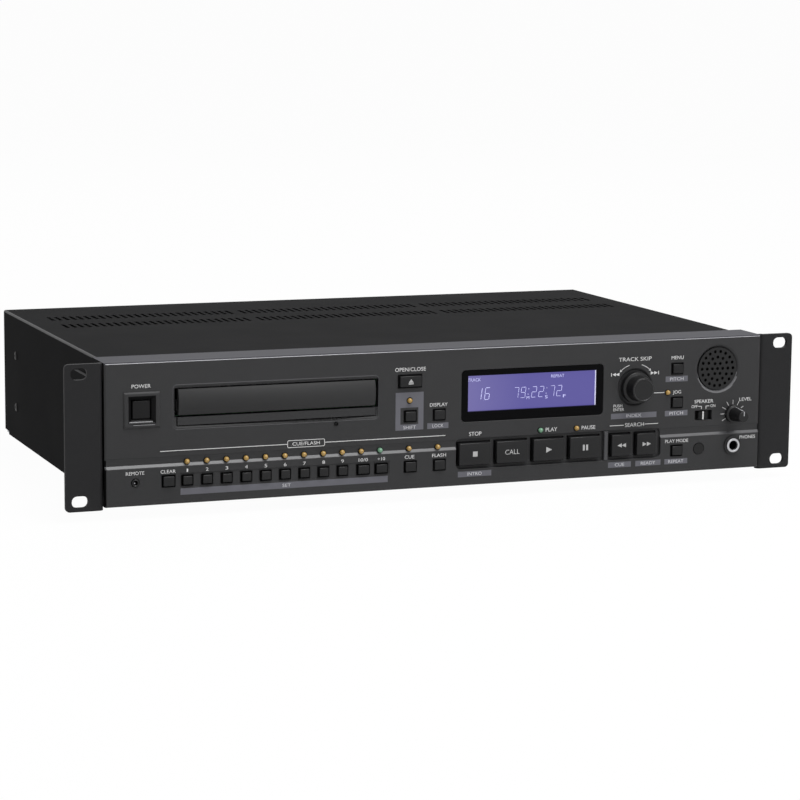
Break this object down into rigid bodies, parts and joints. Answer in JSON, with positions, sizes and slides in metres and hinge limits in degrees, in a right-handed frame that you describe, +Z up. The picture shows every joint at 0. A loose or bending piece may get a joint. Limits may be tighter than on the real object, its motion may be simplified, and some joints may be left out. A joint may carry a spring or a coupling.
{
  "type": "rack cd player",
  "caption": "Rack-mount CD player, two units high: motorised disc tray, dark display window, row of number keys, wide transport keys, turning knob, slotted ears and vented cover.",
  "frame": {"origin": "under the middle of the whole unit's bounding box, on the surface that the feet stand on", "axes": "+X to the right seen from the front, +Y to the rear (the front faces -Y), +Z up"},
  "size_m": [0.4826, 0.3028, 0.0945],
  "materials": {
    "panel_plastic": "satin",
    "key_plastic": "satin",
    "painted_sheet": "fine texture",
    "zinc_steel": "zinc plated",
    "drive_plastic": "moulded",
    "gear_plastic": "moulded",
    "board": "solder mask",
    "rubber": "matte",
    "window": "polished",
    "display": "lit",
    "speaker_cone": "paper"
  },
  "bodies": {
    "housing": {"chassis_base": "zinc_steel", "top_cover": "painted_sheet", "rear_panel": "painted_sheet", "ac_inlet": "drive_plastic", "foot_front_left": "rubber", "foot_front_right": "rubber", "foot_rear_left": "rubber", "foot_rear_right": "rubber", "front_panel": "panel_plastic", "rack_ear_left": "painted_sheet", "rack_ear_right": "painted_sheet", "tray_bezel": "panel_plastic", "display_window": "window", "display_module": "display", "front_board": "board", "speaker_grille": "key_plastic", "speaker_driver": "speaker_cone", "phones_jack": "drive_plastic", "remote_jack": "drive_plastic", "infrared_window": "window", "loader_frame": "zinc_steel", "main_board": "board", "power_supply": "board"},
    "tray": {"disc_tray": "drive_plastic", "tray_door": "panel_plastic"},
    "loader_gear": {"loader_gear": "gear_plastic"},
    "turntable": {"turntable": "drive_plastic"},
    "disc_clamp": {"disc_clamp": "drive_plastic"},
    "optical_pickup": {"optical_pickup": "drive_plastic"},
    "jog_plunger": {"jog_plunger": "drive_plastic"},
    "jog_knob": {"jog_knob": "key_plastic"},
    "level_knob": {"level_knob": "key_plastic"},
    "speaker_switch": {"speaker_switch": "key_plastic"},
    "power_button": {"power_button": "key_plastic"},
    "open_close_key": {"open_close_key": "key_plastic"},
    "number_key_1": {"number_key_1": "key_plastic"},
    "number_key_2": {"number_key_2": "key_plastic"},
    "number_key_3": {"number_key_3": "key_plastic"},
    "number_key_4": {"number_key_4": "key_plastic"},
    "number_key_5": {"number_key_5": "key_plastic"},
    "number_key_6": {"number_key_6": "key_plastic"},
    "number_key_7": {"number_key_7": "key_plastic"},
    "number_key_8": {"number_key_8": "key_plastic"},
    "number_key_9": {"number_key_9": "key_plastic"},
    "number_key_10": {"number_key_10": "key_plastic"},
    "plus_ten_key": {"plus_ten_key": "key_plastic"},
    "clear_key": {"clear_key": "key_plastic"},
    "cue_key": {"cue_key": "key_plastic"},
    "flash_key": {"flash_key": "key_plastic"},
    "shift_key": {"shift_key": "key_plastic"},
    "display_key": {"display_key": "key_plastic"},
    "menu_key": {"menu_key": "key_plastic"},
    "jog_key": {"jog_key": "key_plastic"},
    "play_mode_key": {"play_mode_key": "key_plastic"},
    "stop_key": {"stop_key": "key_plastic"},
    "call_key": {"call_key": "key_plastic"},
    "play_key": {"play_key": "key_plastic"},
    "pause_key": {"pause_key": "key_plastic"},
    "search_back_key": {"search_back_key": "key_plastic"},
    "search_forward_key": {"search_forward_key": "key_plastic"}
  },
  "joints": [
    {"name": "tray_slide", "type": "slide", "parent": "housing", "child": "tray", "axis": [0, -1, 0], "range_m": [0, 0.136]},
    {"name": "loader_gear_turn", "type": "hinge", "parent": "housing", "child": "loader_gear", "pos_m": [-0.0682, -0.0896, 0.0615], "axis": [0, 0, 1], "range_deg": [-520, 0]},
    {"name": "turntable_spin", "type": "hinge", "parent": "housing", "child": "turntable", "pos_m": [-0.1102, -0.0626, 0.0635], "axis": [0, 0, 1], "continuous": true},
    {"name": "disc_clamp_spin", "type": "hinge", "parent": "housing", "child": "disc_clamp", "pos_m": [-0.1102, -0.0626, 0.0705], "axis": [0, 0, 1], "continuous": true},
    {"name": "pickup_slide", "type": "slide", "parent": "housing", "child": "optical_pickup", "axis": [0, 1, 0], "range_m": [0, 0.034]},
    {"name": "jog_plunger_push", "type": "slide", "parent": "housing", "child": "jog_plunger", "axis": [0, 1, 0], "range_m": [0, 0.0006], "stiffness_N_per_m": 600, "springref_m": -0.001},
    {"name": "jog_knob_turn", "type": "hinge", "parent": "jog_plunger", "child": "jog_knob", "pos_m": [0.1284, -0.1346, 0.0644], "axis": [0, 1, 0], "continuous": true},
    {"name": "level_knob_turn", "type": "hinge", "parent": "housing", "child": "level_knob", "pos_m": [0.19872, -0.1346, 0.0441], "axis": [0, 1, 0], "range_deg": [-150, 150]},
    {"name": "speaker_switch_slide", "type": "slide", "parent": "housing", "child": "speaker_switch", "axis": [1, 0, 0], "range_m": [0, 0.0028]},
    {"name": "power_button_push", "type": "slide", "parent": "housing", "child": "power_button", "axis": [0, 1, 0], "range_m": [0, 0.0025], "stiffness_N_per_m": 300, "springref_m": -0.0015},
    {"name": "open_close_key_push", "type": "slide", "parent": "housing", "child": "open_close_key", "axis": [0, 1, 0], "range_m": [0, 0.0006], "stiffness_N_per_m": 500, "springref_m": -0.001},
    {"name": "number_key_1_push", "type": "slide", "parent": "housing", "child": "number_key_1", "axis": [0, 1, 0], "range_m": [0, 0.0006], "stiffness_N_per_m": 500, "springref_m": -0.001},
    {"name": "number_key_2_push", "type": "slide", "parent": "housing", "child": "number_key_2", "axis": [0, 1, 0], "range_m": [0, 0.0006], "stiffness_N_per_m": 500, "springref_m": -0.001},
    {"name": "number_key_3_push", "type": "slide", "parent": "housing", "child": "number_key_3", "axis": [0, 1, 0], "range_m": [0, 0.0006], "stiffness_N_per_m": 500, "springref_m": -0.001},
    {"name": "number_key_4_push", "type": "slide", "parent": "housing", "child": "number_key_4", "axis": [0, 1, 0], "range_m": [0, 0.0006], "stiffness_N_per_m": 500, "springref_m": -0.001},
    {"name": "number_key_5_push", "type": "slide", "parent": "housing", "child": "number_key_5", "axis": [0, 1, 0], "range_m": [0, 0.0006], "stiffness_N_per_m": 500, "springref_m": -0.001},
    {"name": "number_key_6_push", "type": "slide", "parent": "housing", "child": "number_key_6", "axis": [0, 1, 0], "range_m": [0, 0.0006], "stiffness_N_per_m": 500, "springref_m": -0.001},
    {"name": "number_key_7_push", "type": "slide", "parent": "housing", "child": "number_key_7", "axis": [0, 1, 0], "range_m": [0, 0.0006], "stiffness_N_per_m": 500, "springref_m": -0.001},
    {"name": "number_key_8_push", "type": "slide", "parent": "housing", "child": "number_key_8", "axis": [0, 1, 0], "range_m": [0, 0.0006], "stiffness_N_per_m": 500, "springref_m": -0.001},
    {"name": "number_key_9_push", "type": "slide", "parent": "housing", "child": "number_key_9", "axis": [0, 1, 0], "range_m": [0, 0.0006], "stiffness_N_per_m": 500, "springref_m": -0.001},
    {"name": "number_key_10_push", "type": "slide", "parent": "housing", "child": "number_key_10", "axis": [0, 1, 0], "range_m": [0, 0.0006], "stiffness_N_per_m": 500, "springref_m": -0.001},
    {"name": "plus_ten_key_push", "type": "slide", "parent": "housing", "child": "plus_ten_key", "axis": [0, 1, 0], "range_m": [0, 0.0006], "stiffness_N_per_m": 500, "springref_m": -0.001},
    {"name": "clear_key_push", "type": "slide", "parent": "housing", "child": "clear_key", "axis": [0, 1, 0], "range_m": [0, 0.0006], "stiffness_N_per_m": 500, "springref_m": -0.001},
    {"name": "cue_key_push", "type": "slide", "parent": "housing", "child": "cue_key", "axis": [0, 1, 0], "range_m": [0, 0.0006], "stiffness_N_per_m": 500, "springref_m": -0.001},
    {"name": "flash_key_push", "type": "slide", "parent": "housing", "child": "flash_key", "axis": [0, 1, 0], "range_m": [0, 0.0006], "stiffness_N_per_m": 500, "springref_m": -0.001},
    {"name": "shift_key_push", "type": "slide", "parent": "housing", "child": "shift_key", "axis": [0, 1, 0], "range_m": [0, 0.0006], "stiffness_N_per_m": 500, "springref_m": -0.001},
    {"name": "display_key_push", "type": "slide", "parent": "housing", "child": "display_key", "axis": [0, 1, 0], "range_m": [0, 0.0006], "stiffness_N_per_m": 500, "springref_m": -0.001},
    {"name": "menu_key_push", "type": "slide", "parent": "housing", "child": "menu_key", "axis": [0, 1, 0], "range_m": [0, 0.0006], "stiffness_N_per_m": 500, "springref_m": -0.001},
    {"name": "jog_key_push", "type": "slide", "parent": "housing", "child": "jog_key", "axis": [0, 1, 0], "range_m": [0, 0.0006], "stiffness_N_per_m": 500, "springref_m": -0.001},
    {"name": "play_mode_key_push", "type": "slide", "parent": "housing", "child": "play_mode_key", "axis": [0, 1, 0], "range_m": [0, 0.0006], "stiffness_N_per_m": 500, "springref_m": -0.001},
    {"name": "stop_key_push", "type": "slide", "parent": "housing", "child": "stop_key", "axis": [0, 1, 0], "range_m": [0, 0.0012], "stiffness_N_per_m": 400, "springref_m": -0.0015},
    {"name": "call_key_push", "type": "slide", "parent": "housing", "child": "call_key", "axis": [0, 1, 0], "range_m": [0, 0.0012], "stiffness_N_per_m": 400, "springref_m": -0.0015},
    {"name": "play_key_push", "type": "slide", "parent": "housing", "child": "play_key", "axis": [0, 1, 0], "range_m": [0, 0.0012], "stiffness_N_per_m": 400, "springref_m": -0.0015},
    {"name": "pause_key_push", "type": "slide", "parent": "housing", "child": "pause_key", "axis": [0, 1, 0], "range_m": [0, 0.0012], "stiffness_N_per_m": 400, "springref_m": -0.0015},
    {"name": "search_back_key_push", "type": "slide", "parent": "housing", "child": "search_back_key", "axis": [0, 1, 0], "range_m": [0, 0.0012], "stiffness_N_per_m": 400, "springref_m": -0.0015},
    {"name": "search_forward_key_push", "type": "slide", "parent": "housing", "child": "search_forward_key", "axis": [0, 1, 0], "range_m": [0, 0.0012], "stiffness_N_per_m": 400, "springref_m": -0.0015}
  ],
  "couplings": [
    {"joint": "loader_gear_turn", "follows": "tray_slide", "rad_per_m": -66.667},
    {"joint": "disc_clamp_spin", "follows": "turntable_spin", "ratio": 1}
  ]
}
